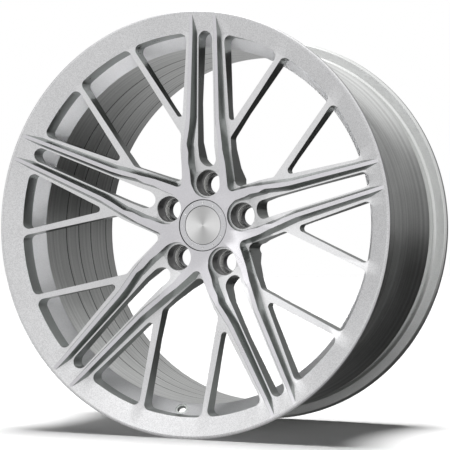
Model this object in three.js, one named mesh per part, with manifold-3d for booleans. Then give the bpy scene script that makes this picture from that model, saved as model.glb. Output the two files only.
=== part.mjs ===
// Forged racing wheel rim, 20 x 10 inch, five twin spokes with branches, 5 x 112 bolt circle.
// Millimetres, +Z up. The wheel turns about Y, its outboard face looks along -Y, and the
// origin is the middle of the rim on the axle line.
import * as THREE from 'three';
import { mergeVertices } from 'three/addons/utils/BufferGeometryUtils.js';
import Module from 'manifold-3d';

const wasm = await Module();
wasm.setup();

// ---- Driving dimensions ----

// Rim contour. Depths are measured inboard from the front plane of the rim.
const RIM_WIDTH = 254;             // between the bead flanges
const SEAT_RADIUS = 256.4;         // bead seats
const FLANGE_HEIGHT = 17.3;        // flange above the bead seat
const FLANGE_THICKNESS = 10.9;     // along the axle, each flange
const FLANGE_EDGE = 1.5;           // broken outer edges of the flanges
const BEAD_FILLET = 3;             // flange to bead seat, and round the flange's top
const SEAT_WIDTH = 24;             // bead seat, from the flange to the hump
const HUMP_HEIGHT = 1.1;           // safety hump above the seat
const HUMP_WIDTH = 7;
const HUMP_RISE = 1.6;             // its slope on the seat side
const HUMP_FALL = 2.4;             // its slope on the well side
const WELL_DEPTH = 17.4;           // drop centre below the seats
const WALL = 5.6;                  // barrel wall in the drop centre
const RIM_SEGMENTS = 72;           // facets round the rim
const HUB_SEGMENTS = 36;           // facets round the hub and the cap
const HOLE_SEGMENTS = 20;          // facets round a bolt pocket
const PIN_SEGMENTS = 10;           // facets round a cap stud

// Front ring, which the spokes run into.
const LIP_WIDTH = 3.6;             // narrow band round the outside of the face
const LIP_STEP = 0.5;              // the ring face starts this far below the band
const RING_DROP = 8.9;             // the ring's inner edge, below the bead seat
const RING_FACE_DEPTH = 15;        // ring face at its inner edge
const RING_WALL = 23;              // depth of the ring's inner wall
const CONE_LEDGE = 0.7;            // the 45 degree cone behind it stops this far above the well
const SEAM_LAND = 1.8;             // from the end of the cone to the seam

// Inside of the barrel: turned steps, as distance from the rear plane and rise above the
// inside of the well.
const BARREL_STEPS = [[165.8, 0.3], [127.8, 1.9], [86.8, 5.2], [28.8, 11.6]];
const BARREL_STEP = 0.5;           // height of each step
const REAR_OPENING_DROP = 7.4;     // the inboard mouth, below the bead seat
const MOUTH_CHAMFER = 2;

// Outside of the barrel: the slope from the well up to the rear seat, as distance from the
// rear plane and rise above the well.
const RAMP = [[107.8, 0], [74.8, 8], [46.8, 15.6]];

const VALVE_HOLE = 11.3;           // diameter
const VALVE_SPOT = 17;             // spot face round it, diameter
const VALVE_SPOT_DEPTH = 0.5;
const VALVE_PLACE = 0.45;          // how far down the cone it lies
const GAP = 0.3;                   // between pieces that touch

// Hub. Heights are measured outboard from the mounting face.
const OFFSET = 35;                 // mounting face outboard of the rim's middle
const BOLT_CIRCLE = 112;
const POCKET_RADIUS = 17.3;        // wheel bolt pockets
const POCKET_DEPTH = 20;           // below the floor
const POCKET_RIM = 2.1;            // the wall that leads the channel floor round a pocket
const PAD_MARGIN = 2.7;            // mounting pad outside the bolt pockets
const HUB_HEIGHT = 43.9;           // flat round the cap
const HUB_FLAT_RADIUS = 50;
const FLOOR_HEIGHT = 37.9;         // floor round the wheel bolts
const FLOOR_FLAT_MARGIN = 4;       // that floor stops this far inside the pad's edge
const CENTRE_BORE = 72.6;          // diameter, from the mounting face
const CENTRE_BORE_LENGTH = 12;
const RELIEF_RADIUS = 9;           // weight-saving pockets behind, between the bolts
const RELIEF_WALL = 5.7;           // between them and the centre bore
const RELIEF_DEPTH = 24;

// Spokes.
const SPOKES = 5;
const SPOKE_PHASE = 5.5;           // first spoke, degrees clockwise from the top, seen from the front
const SPOKE_SPLIT = 0.5;           // each spoke stops this far short of its neighbours, degrees
const KINK_RADIUS = 105;           // the face turns steeper towards the hub inside this
const BEND_RADIUS = 140;           // the arms spread wider towards the hub inside this
const RIDGE_TIP_MARGIN = 4.1;      // ridges run out this far inside the flange's edge
const RIDGE_TIP_DEPTH = 1.2;       // ridge top at its tip
const RIDGE_RING_DEPTH = 7.8;      // ridge top over the ring's inner edge
const RIDGE_KINK_HEIGHT = 66.4;    // ridge top at the kink, above the mounting face
const FLOOR_KINK_HEIGHT = 54.9;    // ledges and channel floor there
const RIDGE_DRAFT = 15;            // slope of the ridge sides, degrees
const RIDGE_SKIRT = 17;            // ridge sides run down this far, into the floor
const RIDGE_OUTER_RING = 19.4;     // ridge's outer top edge from the spoke's middle, at the ring
const RIDGE_OUTER_BEND = 23.2;
const RIDGE_OUTER_KINK = 28.1;
const RIDGE_MEET_MARGIN = 1;       // it meets the next spoke's ridge just outside the bolt circle
const RIDGE_WIDTH_RING = 5.6;
const RIDGE_WIDTH_KINK = 7.5;
const LEDGE_RING = 6.4;            // ridge top edge to window edge, across, at the ring
const LEDGE_BEND = 6.2;
const LEDGE_KINK = 6.8;
const LEDGE_HUB = 5.2;
const SPOKE_BACK = [[84, 51.9], [34, 36.9], [12, 18.9]]; // outside the pad, above its face

// Slot through each spoke's channel floor.
const SLOT_MARGIN = 2;             // starts this far outside the pad
const SLOT_WIDTH_HUB = 24;
const SLOT_WIDTH_RING = 19.5;
const SLOT_RING_FILLET = 9;

// Branches, which run parallel to the line half way between two spokes.
const BRANCH_OFFSET = 44.8;        // middle of a branch from that line
const BRANCH_WIDTH_RING = 6.6;
const BRANCH_WIDTH_ROOT = 9.5;
const WINDOW_RING_FILLET = 7;
const WINDOW_ROOT_FILLET = 3.5;
const WINDOW_HUB_FILLET = 6;

// Bolt seat inserts.
const INSERT_CLEARANCE = 1.1;      // inside the pocket, all round
const INSERT_BORE = 24.4;          // diameter
const INSERT_RIM = 0.7;            // flat round the mouth of the seat
const SEAT_ANGLE = 60;             // cone for the wheel bolt, degrees
const BEHIND_PAD = 0.5;            // inserts and spigot ring stop short of the mounting face

// Spigot ring in the centre bore.
const SPIGOT_WALL = 2.7;
const SPIGOT_LENGTH = 10;
const SPIGOT_CHAMFER = 1;

// Centre cap.
const CAP_BORE = 61;               // diameter of the bore that the cap snaps into
const CAP_FLANGE = 3.2;            // the cap's edge outside that bore
const CAP_CLEARANCE = 0.7;         // round the cap, in its recess
const CAP_RECESS_DEPTH = 4.6;
const CAP_GROOVE = 1.2;            // snap groove, deeper than the bore
const CAP_GROOVE_WIDTH = 4;
const CAP_GROOVE_START = 9;        // groove behind the recess
const CAP_SHELL = 2;               // wall of the cap's body
const CAP_LEGS = 6;
const CAP_LEG_LENGTH = 15;
const CAP_LEG_WIDTH = 13;
const CAP_LEG_CLEARANCE = 1.1;     // in the bore, so that the legs can spring in
const CAP_BARB = 1.5;              // length of the snap barb's crest
const BEZEL_WIDTH = 7.9;
const BEZEL_HEIGHT = 1.8;
const BEZEL_ROUND = 0.7;           // its outer edge
const BEZEL_CHAMFER = 0.4;         // its inner edge
const BADGE_GROOVE = 0.5;          // between the bezel and the badge
const BADGE_HEIGHT = 1.3;
const STUDS = 12;
const STUD_RADIUS = 1.1;
const STUD_HEIGHT = 0.6;           // above the bezel
const SPRING_WIRE = 1.6;           // diameter
const SPRING_GAP = 3;              // between the spring's ends

// ---- Values worked out from them ----

const FRONT = -(RIM_WIDTH / 2 + FLANGE_THICKNESS);
const WHEEL_DEPTH = -2 * FRONT;
const FLANGE_RADIUS = SEAT_RADIUS + FLANGE_HEIGHT;
const WELL_RADIUS = SEAT_RADIUS - WELL_DEPTH;
const WELL_INSIDE = WELL_RADIUS - WALL;
const RING_RADIUS = SEAT_RADIUS - RING_DROP;
const CONE_START = RING_FACE_DEPTH + RING_WALL;
const CONE_DROP = RING_RADIUS - WELL_INSIDE - CONE_LEDGE;
const SEAM_DEPTH = CONE_START + CONE_DROP + SEAM_LAND;   // front rim to inner barrel
const REAR_OPENING = SEAT_RADIUS - REAR_OPENING_DROP;

const SECTOR = 2 * Math.PI / SPOKES;
const HALF_SECTOR = SECTOR / 2;
const PAD_DEPTH = -OFFSET - FRONT;
const BOLT_RADIUS = BOLT_CIRCLE / 2;
const HUB_RADIUS = BOLT_RADIUS + POCKET_RADIUS + PAD_MARGIN;
const HUB_DEPTH = PAD_DEPTH - HUB_HEIGHT;
const FLOOR_DEPTH = PAD_DEPTH - FLOOR_HEIGHT;
const FLOOR_FLAT_RADIUS = HUB_RADIUS - FLOOR_FLAT_MARGIN;
const POCKET_WALL_RADIUS = POCKET_RADIUS + POCKET_RIM;
const RELIEF_CIRCLE = CENTRE_BORE / 2 + RELIEF_WALL + RELIEF_RADIUS;
const RIDGE_TIP = FLANGE_RADIUS - RIDGE_TIP_MARGIN;
const RIDGE_MEET_RADIUS = BOLT_RADIUS + RIDGE_MEET_MARGIN;
const INSERT_RADIUS = POCKET_RADIUS - INSERT_CLEARANCE;
const CAP_RADIUS = CAP_BORE / 2 + CAP_FLANGE;
const CAP_RECESS = CAP_RADIUS + CAP_CLEARANCE;

const radians = THREE.MathUtils.degToRad;

// A straight run between the points of a profile, as a function of radius.
function along(points, radius) {
  const sorted = [...points].sort((a, b) => a[0] - b[0]);
  const last = sorted.length - 1;
  if (radius <= sorted[0][0]) return sorted[0][1];
  for (let i = 0; i < last; i += 1) {
    const [r0, d0] = sorted[i];
    const [r1, d1] = sorted[i + 1];
    if (radius <= r1) return d0 + (d1 - d0) * (radius - r0) / (r1 - r0);
  }
  const [r0, d0] = sorted[last - 1];
  const [r1, d1] = sorted[last];
  return d0 + (d1 - d0) * (radius - r0) / (r1 - r0);
}

const PHASE = radians(SPOKE_PHASE);
const RIDGE_TOP = [
  [HUB_FLAT_RADIUS, HUB_DEPTH],
  [KINK_RADIUS, PAD_DEPTH - RIDGE_KINK_HEIGHT],
  [RING_RADIUS, RIDGE_RING_DEPTH],
  [RIDGE_TIP, RIDGE_TIP_DEPTH],
];
const FLOOR = [
  [FLOOR_FLAT_RADIUS, FLOOR_DEPTH],
  [KINK_RADIUS, PAD_DEPTH - FLOOR_KINK_HEIGHT],
  [RING_RADIUS, RING_FACE_DEPTH],
];
const BACK = [
  [RING_RADIUS, CONE_START],
  ...SPOKE_BACK.map(([out, height]) => [HUB_RADIUS + out, PAD_DEPTH - height]),
  [HUB_RADIUS, PAD_DEPTH],
];

// ---- Solids ----

// A closed three.js geometry as a solid, with its shared vertices merged.
function solid(geometry) {
  const bare = geometry.clone();
  bare.deleteAttribute('normal');
  bare.deleteAttribute('uv');
  const merged = mergeVertices(bare, 1e-4);
  const vertProperties = new Float32Array(merged.attributes.position.array);
  const triVerts = new Uint32Array(merged.index.array);
  return new wasm.Manifold(new wasm.Mesh({ numProp: 3, vertProperties, triVerts }));
}

function geometryOf(manifold) {
  const mesh = manifold.getMesh();
  const geometry = new THREE.BufferGeometry();
  geometry.setAttribute('position', new THREE.BufferAttribute(mesh.vertProperties, 3));
  geometry.setIndex(new THREE.BufferAttribute(mesh.triVerts, 1));
  return geometry;
}

// A ring or disc turned about the axle from a closed outline of [radius, depth] points.
function turned(outline, segments = RIM_SEGMENTS) {
  const points = outline.map(([radius, depth]) => new THREE.Vector2(radius, FRONT + depth));
  if (THREE.ShapeUtils.area(points) < 0) points.reverse();
  points.push(points[0].clone());
  return solid(new THREE.LatheGeometry(points, segments));
}

// A plate cut to an outline of [across, up] points, between two depths.
function plate(outline, from, to) {
  const shape = new THREE.Shape(outline.map(([x, z]) => new THREE.Vector2(x, z)));
  const geometry = new THREE.ExtrudeGeometry(shape, { depth: to - from, bevelEnabled: false });
  geometry.rotateX(Math.PI / 2);
  geometry.translate(0, FRONT + to, 0);
  return solid(geometry);
}

// A plain round pin or hole along the axle, at [x, z].
function round(radius, from, to, x = 0, z = 0, segments = HOLE_SEGMENTS) {
  const geometry = new THREE.CylinderGeometry(radius, radius, to - from, segments);
  geometry.translate(x, FRONT + (from + to) / 2, z);
  return solid(geometry);
}

// A point [x, z] turned clockwise about the axle, seen from the front.
function swing([x, z], angle) {
  return [x * Math.cos(angle) + z * Math.sin(angle), z * Math.cos(angle) - x * Math.sin(angle)];
}

// The manifold turned clockwise about the axle.
function turnedBy(manifold, angle) {
  return manifold.rotate([0, THREE.MathUtils.radToDeg(angle), 0]);
}

function arc(centre, radius, start, end, steps) {
  let sweep = end - start;
  while (sweep > Math.PI) sweep -= 2 * Math.PI;
  while (sweep < -Math.PI) sweep += 2 * Math.PI;
  const points = [];
  for (let i = 0; i <= steps; i += 1) {
    const angle = start + sweep * i / steps;
    points.push([centre[0] + radius * Math.cos(angle), centre[1] + radius * Math.sin(angle)]);
  }
  return points;
}

// The corner at b, between a and c, as a fillet.
function fillet(a, b, c, radius, steps = 5) {
  const toA = new THREE.Vector2(a[0] - b[0], a[1] - b[1]).normalize();
  const toC = new THREE.Vector2(c[0] - b[0], c[1] - b[1]).normalize();
  const half = Math.acos(THREE.MathUtils.clamp(toA.dot(toC), -1, 1)) / 2;
  const middle = toA.clone().add(toC).normalize().multiplyScalar(radius / Math.sin(half));
  const centre = [b[0] + middle.x, b[1] + middle.y];
  const reach = radius / Math.tan(half);
  const start = Math.atan2(b[1] + toA.y * reach - centre[1], b[0] + toA.x * reach - centre[0]);
  const end = Math.atan2(b[1] + toC.y * reach - centre[1], b[0] + toC.x * reach - centre[0]);
  return arc(centre, radius, start, end, steps);
}

// The corner between a straight edge, from a outwards through b, and the ring's inner circle.
// side is 1 where the opening lies to the right of the edge and -1 where it lies to the left.
function ringFillet(a, b, radius, side, steps = 4) {
  const edge = new THREE.Vector2(b[0] - a[0], b[1] - a[1]).normalize();
  const inward = new THREE.Vector2(edge.y * side, -edge.x * side);
  const start = new THREE.Vector2(a[0], a[1]).addScaledVector(inward, radius);
  const reach = RING_RADIUS - radius;
  const travel = start.dot(edge);
  const run = -travel + Math.sqrt(travel * travel - start.lengthSq() + reach * reach);
  const centre = start.clone().addScaledVector(edge, run);
  const from = Math.atan2(-inward.y, -inward.x);
  const to = Math.atan2(centre.y, centre.x);
  return arc([centre.x, centre.y], radius, from, to, steps);
}

// An opening bounded by a chain of corners and, at its outer end, by the ring. The chain runs
// down its left side and up its right side; radii are its inner corners' fillets.
function openingOutline(chain, radii, ringRadius) {
  const last = chain.length - 1;
  const points = ringFillet(chain[1], chain[0], ringRadius, 1).reverse();
  for (let i = 1; i < last; i += 1) {
    if (radii[i - 1] > 0) points.push(...fillet(chain[i - 1], chain[i], chain[i + 1], radii[i - 1]));
    else points.push(chain[i]);
  }
  points.push(...ringFillet(chain[last - 1], chain[last], ringRadius, -1));
  const right = points[points.length - 1];
  const left = points[0];
  const from = Math.atan2(right[1], right[0]);
  const to = Math.atan2(left[1], left[0]);
  const steps = Math.max(2, Math.round(Math.abs(to - from) * RIM_SEGMENTS / (2 * Math.PI)));
  points.push(...arc([0, 0], RING_RADIUS, from, to, steps).slice(1, -1));
  return points;
}

// ---- Spoke layout, first spoke straight up ----

// Distance of the ridge's outer top edge, and of the window's edge, from the spoke's middle.
const ridgeOuter = [
  [RIDGE_MEET_RADIUS * Math.cos(HALF_SECTOR), RIDGE_MEET_RADIUS * Math.sin(HALF_SECTOR)],
  [KINK_RADIUS, RIDGE_OUTER_KINK],
  [BEND_RADIUS, RIDGE_OUTER_BEND],
  [RING_RADIUS, RIDGE_OUTER_RING],
];
const ledges = [LEDGE_HUB, LEDGE_KINK, LEDGE_BEND, LEDGE_RING];
const ledgeOuter = ridgeOuter.map(([u, v], i) => [u, v + ledges[i]]);
const BEYOND = RING_RADIUS + 10;   // past the ring's inner edge

// Where the window edge of the right-hand arm crosses a line parallel to the sector's middle,
// as a point of the spoke's own frame. That is between the kink and the bend, or on their line.
function branchMeets(offset) {
  const [, [u1, v1], [u2, v2]] = ledgeOuter;
  const slope = (v2 - v1) / (u2 - u1);
  const sin = Math.sin(HALF_SECTOR);
  const cos = Math.cos(HALF_SECTOR);
  const u = (offset + cos * (v1 - slope * u1)) / (sin - cos * slope);
  return [v1 + slope * (u - u1), u];
}

// A branch edge's distance from the sector's middle line: side is 1 outside it, -1 inside.
function branchEdge(side, atRing) {
  const width = atRing ? BRANCH_WIDTH_RING : BRANCH_WIDTH_ROOT;
  return BRANCH_OFFSET + side * width / 2;
}

// A point on a branch's edge past the ring, in the spoke's frame.
function branchEnd(side) {
  return swing([-branchEdge(side, true), BEYOND], HALF_SECTOR);
}

// Centre window, between the branches of two spokes, with its own middle line straight up.
function centreWindow() {
  const root = swing(branchMeets(branchEdge(-1, false)), -HALF_SECTOR);
  const kink = swing([ledgeOuter[1][1], KINK_RADIUS], -HALF_SECTOR);
  const hubEnd = swing([ledgeOuter[0][1], ledgeOuter[0][0]], -HALF_SECTOR);
  const rise = (kink[1] - hubEnd[1]) / (kink[0] - hubEnd[0]);
  const meet = [0, kink[1] - rise * kink[0]];
  const end = [-branchEdge(-1, true), BEYOND];
  const left = [end, root, kink];
  const mirrored = left.map(([x, z]) => [-x, z]).reverse();
  const chain = [...left, meet, ...mirrored];
  return openingOutline(chain, [3, 0, WINDOW_HUB_FILLET, 0, 3], WINDOW_RING_FILLET);
}

// Side window, between an arm and its own branch, on the right of the spoke.
function sideWindow() {
  const armEnd = [along(ledgeOuter, BEYOND), BEYOND];
  const bend = [ledgeOuter[2][1], BEND_RADIUS];
  const root = branchMeets(branchEdge(1, false));
  const chain = [armEnd, bend, root, branchEnd(1)];
  return openingOutline(chain, [0, WINDOW_ROOT_FILLET], WINDOW_RING_FILLET);
}

// Slot along the spoke's middle.
function slot() {
  const start = HUB_RADIUS + SLOT_MARGIN;
  const hub = SLOT_WIDTH_HUB / 2;
  const ring = SLOT_WIDTH_RING / 2;
  const wide = ring - (hub - ring) * (BEYOND - RING_RADIUS) / (RING_RADIUS - start);
  const chain = [[-wide, BEYOND], [-hub, start], [hub, start], [wide, BEYOND]];
  return openingOutline(chain, [hub - 0.5, hub - 0.5], SLOT_RING_FILLET);
}

const mirror = (outline) => outline.map(([x, z]) => [-x, z]);

// One straight stretch of a ridge, with sloping sides: [across, up] corners of its flat top.
function ridgeStretch(outline) {
  const shape = new THREE.Shape(outline.map(([x, z]) => new THREE.Vector2(x, z)));
  const spread = RIDGE_SKIRT * Math.tan(radians(RIDGE_DRAFT));
  const geometry = new THREE.ExtrudeGeometry(shape, {
    depth: 1,
    bevelThickness: RIDGE_SKIRT,
    bevelSize: spread,
    bevelSegments: 1,
  });
  // The half that faces forward is lifted onto the ridge line; the rear half is pressed flat.
  geometry.rotateX(Math.PI / 2);
  const position = geometry.attributes.position;
  for (let i = 0; i < position.count; i += 1) {
    const radius = Math.hypot(position.getX(i), position.getZ(i));
    const below = Math.min(position.getY(i) + RIDGE_SKIRT + 1, RIDGE_SKIRT + 1);
    position.setY(i, FRONT + along(RIDGE_TOP, radius) + below);
  }
  return solid(geometry);
}

// Both arms' ridges, in straight stretches that meet at the kink and over the ring's edge.
function ridges() {
  const width = [[KINK_RADIUS, RIDGE_WIDTH_KINK], [RING_RADIUS, RIDGE_WIDTH_RING]];
  const hubEnd = ridgeOuter[0][0] - 8;
  const outerAt = (u) => along(ridgeOuter, u);
  const innerAt = (u) => (u <= BOLT_RADIUS ? POCKET_WALL_RADIUS : outerAt(u) - along(width, u));
  const stretch = (stations) => [
    ...stations.map((u) => [outerAt(u), u]),
    ...[...stations].reverse().map((u) => [innerAt(u), u]),
  ];
  const stretches = [
    stretch([hubEnd, BOLT_RADIUS, KINK_RADIUS]),
    stretch([KINK_RADIUS, BEND_RADIUS, RING_RADIUS]),
    stretch([RING_RADIUS, RIDGE_TIP]),
  ];
  return wasm.Manifold.union(stretches.flatMap((s) => [ridgeStretch(s), ridgeStretch(mirror(s))]));
}

// Everything between two radii, and between two depths.
function zone(inner, outer, from = 0, to = PAD_DEPTH + 5) {
  return turned([[inner, from], [outer, from], [outer, to], [inner, to]]);
}

// The plain turned disc that the spokes are cut from.
function disc(inner, outer, segments) {
  const front = [inner, ...FLOOR.map(([r]) => r).filter((r) => r > inner && r < outer), outer];
  const rear = [outer, ...BACK.map(([r]) => r).filter((r) => r > inner && r < outer), inner];
  return turned([
    ...front.map((r) => [r, along(FLOOR, Math.max(r, FLOOR_FLAT_RADIUS))]),
    ...rear.map((r) => [r, along(BACK, r)]),
  ], segments);
}

const RIDGES = ridges();
const THROUGH = [0, PAD_DEPTH + 5];

function spoke() {
  const inner = HUB_RADIUS + GAP;
  const outer = RING_RADIUS - GAP;
  const far = 2 * RING_RADIUS;
  const edge = HALF_SECTOR - radians(SPOKE_SPLIT);
  const wedge = plate([[0, 0], swing([0, far], edge), [0, far], swing([0, far], -edge)], ...THROUGH);
  const ridge = RIDGES.intersect(zone(inner, outer));
  const window = plate(centreWindow(), ...THROUGH);
  const cuts = [
    turnedBy(window, HALF_SECTOR),
    turnedBy(window, -HALF_SECTOR),
    plate(sideWindow(), ...THROUGH),
    plate(mirror(sideWindow()), ...THROUGH),
    plate(slot(), ...THROUGH),
  ];
  return disc(inner, outer, RIM_SEGMENTS).intersect(wedge).add(ridge).subtract(wasm.Manifold.union(cuts));
}

function hub() {
  const core = CAP_BORE / 2 - 5;
  const flat = turned([
    [core, HUB_DEPTH],
    [HUB_FLAT_RADIUS, HUB_DEPTH],
    [RIDGE_MEET_RADIUS, along(RIDGE_TOP, RIDGE_MEET_RADIUS)],
    [RIDGE_MEET_RADIUS, FLOOR_DEPTH + 5],
    [core, FLOOR_DEPTH + 5],
  ], HUB_SEGMENTS);
  const arms = RIDGES.intersect(zone(core, HUB_RADIUS));
  const window = plate(centreWindow(), ...THROUGH);
  const recess = HUB_DEPTH + CAP_RECESS_DEPTH;
  const groove = recess + CAP_GROOVE_START;
  const bore = CAP_BORE / 2;
  const end = PAD_DEPTH + 5;
  let body = disc(core, HUB_RADIUS, HUB_SEGMENTS).add(flat);
  const cuts = [
    round(CAP_RECESS, 0, recess, 0, 0, HUB_SEGMENTS),
    round(bore, 0, end, 0, 0, HUB_SEGMENTS),
    round(bore + CAP_GROOVE, groove, groove + CAP_GROOVE_WIDTH, 0, 0, HUB_SEGMENTS),
    round(CENTRE_BORE / 2, PAD_DEPTH - CENTRE_BORE_LENGTH, end, 0, 0, HUB_SEGMENTS),
  ];
  for (let i = 0; i < SPOKES; i += 1) {
    const angle = i * SECTOR;
    body = body.add(turnedBy(arms, angle));
    const bolt = swing([0, BOLT_RADIUS], angle);
    const between = swing([0, RELIEF_CIRCLE], angle + HALF_SECTOR);
    const seat = FLOOR_DEPTH + POCKET_DEPTH;
    cuts.push(
      turnedBy(window, angle + HALF_SECTOR),
      round(POCKET_WALL_RADIUS, 0, FLOOR_DEPTH, ...bolt),
      round(POCKET_RADIUS, 0, seat, ...bolt),
      round(INSERT_RADIUS + GAP, 0, end, ...bolt),
      round(RELIEF_RADIUS, PAD_DEPTH - RELIEF_DEPTH, end, ...between),
    );
  }
  return body.subtract(wasm.Manifold.union(cuts));
}

function frontRim() {
  const seatEnd = FLANGE_THICKNESS + SEAT_WIDTH;
  const humpEnd = seatEnd + HUMP_WIDTH;
  const hump = SEAT_RADIUS + HUMP_HEIGHT;
  const lip = FLANGE_RADIUS - LIP_WIDTH;
  const seam = SEAM_DEPTH - GAP / 2;
  const ring = turned([
    [FLANGE_RADIUS, FLANGE_EDGE],
    [FLANGE_RADIUS - FLANGE_EDGE, 0],
    [lip, 0],
    [lip, LIP_STEP],
    [RING_RADIUS, RING_FACE_DEPTH],
    [RING_RADIUS, CONE_START],
    [RING_RADIUS - CONE_DROP, CONE_START + CONE_DROP],
    [WELL_INSIDE, seam],
    [WELL_RADIUS, seam],
    [SEAT_RADIUS, humpEnd],
    [hump, humpEnd - HUMP_FALL],
    [hump, seatEnd + HUMP_RISE],
    [SEAT_RADIUS, seatEnd],
    [SEAT_RADIUS, FLANGE_THICKNESS + BEAD_FILLET],
    [SEAT_RADIUS + BEAD_FILLET, FLANGE_THICKNESS],
    [FLANGE_RADIUS - BEAD_FILLET, FLANGE_THICKNESS],
    [FLANGE_RADIUS, FLANGE_THICKNESS - BEAD_FILLET],
  ]);
  // The ridges' ends stand on the ring face.
  const seated = RING_RADIUS + 0.01;
  const tips = RIDGES.intersect(turned([
    [seated, 0],
    [RIDGE_TIP, 0],
    [RIDGE_TIP, FLANGE_THICKNESS - BEAD_FILLET],
    [SEAT_RADIUS, RING_FACE_DEPTH],
    [seated, CONE_START],
  ]));
  const all = [ring];
  for (let i = 0; i < SPOKES; i += 1) all.push(turnedBy(tips, PHASE + i * SECTOR));
  // Valve hole square to the cone, opposite the first spoke.
  const run = CONE_DROP * VALVE_PLACE;
  const reach = CONE_START;
  const hole = new THREE.CylinderGeometry(VALVE_HOLE / 2, VALVE_HOLE / 2, 2 * reach, HOLE_SEGMENTS);
  const spot = new THREE.CylinderGeometry(VALVE_SPOT / 2, VALVE_SPOT / 2, reach, HOLE_SEGMENTS);
  spot.translate(0, VALVE_SPOT_DEPTH - reach / 2, 0);
  const cuts = [hole, spot].map((geometry) => {
    geometry.rotateX(radians(45));
    geometry.translate(0, FRONT + CONE_START + run, RING_RADIUS - run);
    geometry.rotateY(PHASE + Math.PI);
    return solid(geometry);
  });
  return wasm.Manifold.union(all).subtract(wasm.Manifold.union(cuts));
}

function innerBarrel() {
  const seatEnd = WHEEL_DEPTH - FLANGE_THICKNESS - SEAT_WIDTH;
  const hump = SEAT_RADIUS + HUMP_HEIGHT;
  const face = WHEEL_DEPTH - FLANGE_THICKNESS;
  const seam = SEAM_DEPTH + GAP / 2;
  const inside = BARREL_STEPS.map(([back, rise]) => [WELL_INSIDE + rise, WHEEL_DEPTH - back]);
  const steps = inside.flatMap(([r, d]) => [[r, d], [r + BARREL_STEP, d + BARREL_STEP]]);
  const ramp = RAMP.map(([back, rise]) => [WELL_RADIUS + rise, WHEEL_DEPTH - back]).reverse();
  return turned([
    [WELL_INSIDE, seam],
    ...steps,
    [REAR_OPENING, WHEEL_DEPTH - MOUTH_CHAMFER],
    [REAR_OPENING + MOUTH_CHAMFER, WHEEL_DEPTH],
    [FLANGE_RADIUS - FLANGE_EDGE, WHEEL_DEPTH],
    [FLANGE_RADIUS, WHEEL_DEPTH - FLANGE_EDGE],
    [FLANGE_RADIUS, face + BEAD_FILLET],
    [FLANGE_RADIUS - BEAD_FILLET, face],
    [SEAT_RADIUS + BEAD_FILLET, face],
    [SEAT_RADIUS, face - BEAD_FILLET],
    [SEAT_RADIUS, seatEnd],
    [hump, seatEnd - HUMP_RISE],
    [hump, seatEnd - HUMP_WIDTH + HUMP_FALL],
    ...ramp,
    [WELL_RADIUS, seam],
  ]);
}

function seatInsert() {
  const start = FLOOR_DEPTH + POCKET_DEPTH + GAP;
  const end = PAD_DEPTH - BEHIND_PAD;
  const bore = INSERT_BORE / 2;
  const mouth = INSERT_RADIUS - INSERT_RIM;
  return turned([
    [mouth, start],
    [INSERT_RADIUS, start],
    [INSERT_RADIUS, end],
    [bore, end],
    [bore, start + (mouth - bore) / Math.tan(radians(SEAT_ANGLE / 2))],
  ], HOLE_SEGMENTS);
}

function spigotRing() {
  const outer = CENTRE_BORE / 2 - GAP;
  const inner = outer - SPIGOT_WALL;
  const end = PAD_DEPTH - BEHIND_PAD;
  return turned([
    [inner, end - SPIGOT_LENGTH],
    [outer, end - SPIGOT_LENGTH],
    [outer, end],
    [inner + SPIGOT_CHAMFER, end],
    [inner, end - SPIGOT_CHAMFER],
  ], HUB_SEGMENTS);
}

// ---- Centre cap ----

const CAP_BACK = HUB_DEPTH + CAP_RECESS_DEPTH - GAP;   // underside of the cap's flange
const CAP_PLATE = CAP_BACK - CAP_SHELL;                // top of the cap's flange
const CAP_SEAT = CAP_PLATE - GAP;                      // the bezel, badge and studs lie on this
const LEG_RADIUS = CAP_BORE / 2 - CAP_LEG_CLEARANCE;
const LEG_END = CAP_BACK + CAP_LEG_LENGTH;
const SPRING_DEPTH = LEG_END - 4;
const BEZEL_INNER = CAP_RADIUS - BEZEL_WIDTH;
const STUD_CIRCLE = CAP_RADIUS - BEZEL_WIDTH / 2;

function capBody() {
  const barb = CAP_BORE / 2 - GAP;
  const tube = turned([
    [LEG_RADIUS - CAP_SHELL, CAP_BACK - CAP_SHELL / 2],
    [LEG_RADIUS, CAP_BACK - CAP_SHELL / 2],
    [LEG_RADIUS, LEG_END - 3.5 - CAP_BARB],
    [barb, LEG_END - 2.5 - CAP_BARB],
    [barb, LEG_END - 2.5],
    [LEG_RADIUS - CAP_SHELL / 2, LEG_END],
    [LEG_RADIUS - CAP_SHELL, LEG_END],
  ], HUB_SEGMENTS);
  const legs = [];
  for (let i = 0; i < CAP_LEGS; i += 1) {
    const leg = new THREE.BoxGeometry(CAP_LEG_WIDTH, 4 * CAP_LEG_LENGTH, CAP_RECESS);
    leg.translate(0, FRONT + CAP_BACK, CAP_RECESS / 2);
    leg.rotateY(i * 2 * Math.PI / CAP_LEGS);
    legs.push(solid(leg));
  }
  const flange = round(CAP_RADIUS, CAP_PLATE, CAP_BACK, 0, 0, HUB_SEGMENTS);
  return tube.intersect(wasm.Manifold.union(legs)).add(flange);
}

function studPositions() {
  return Array.from({ length: STUDS }, (_, i) => swing([0, STUD_CIRCLE], i * 2 * Math.PI / STUDS));
}

function capBezel() {
  const top = CAP_SEAT - BEZEL_HEIGHT;
  const ring = turned([
    [BEZEL_INNER, CAP_SEAT],
    [BEZEL_INNER, top + BEZEL_CHAMFER],
    [BEZEL_INNER + BEZEL_CHAMFER, top],
    [CAP_RADIUS - BEZEL_ROUND, top],
    [CAP_RADIUS, top + BEZEL_ROUND],
    [CAP_RADIUS, CAP_SEAT],
  ], HUB_SEGMENTS);
  const hole = STUD_RADIUS + GAP;
  const holes = studPositions().map((at) => round(hole, 0, CAP_BACK, ...at, PIN_SEGMENTS));
  return ring.subtract(wasm.Manifold.union(holes));
}

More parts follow.
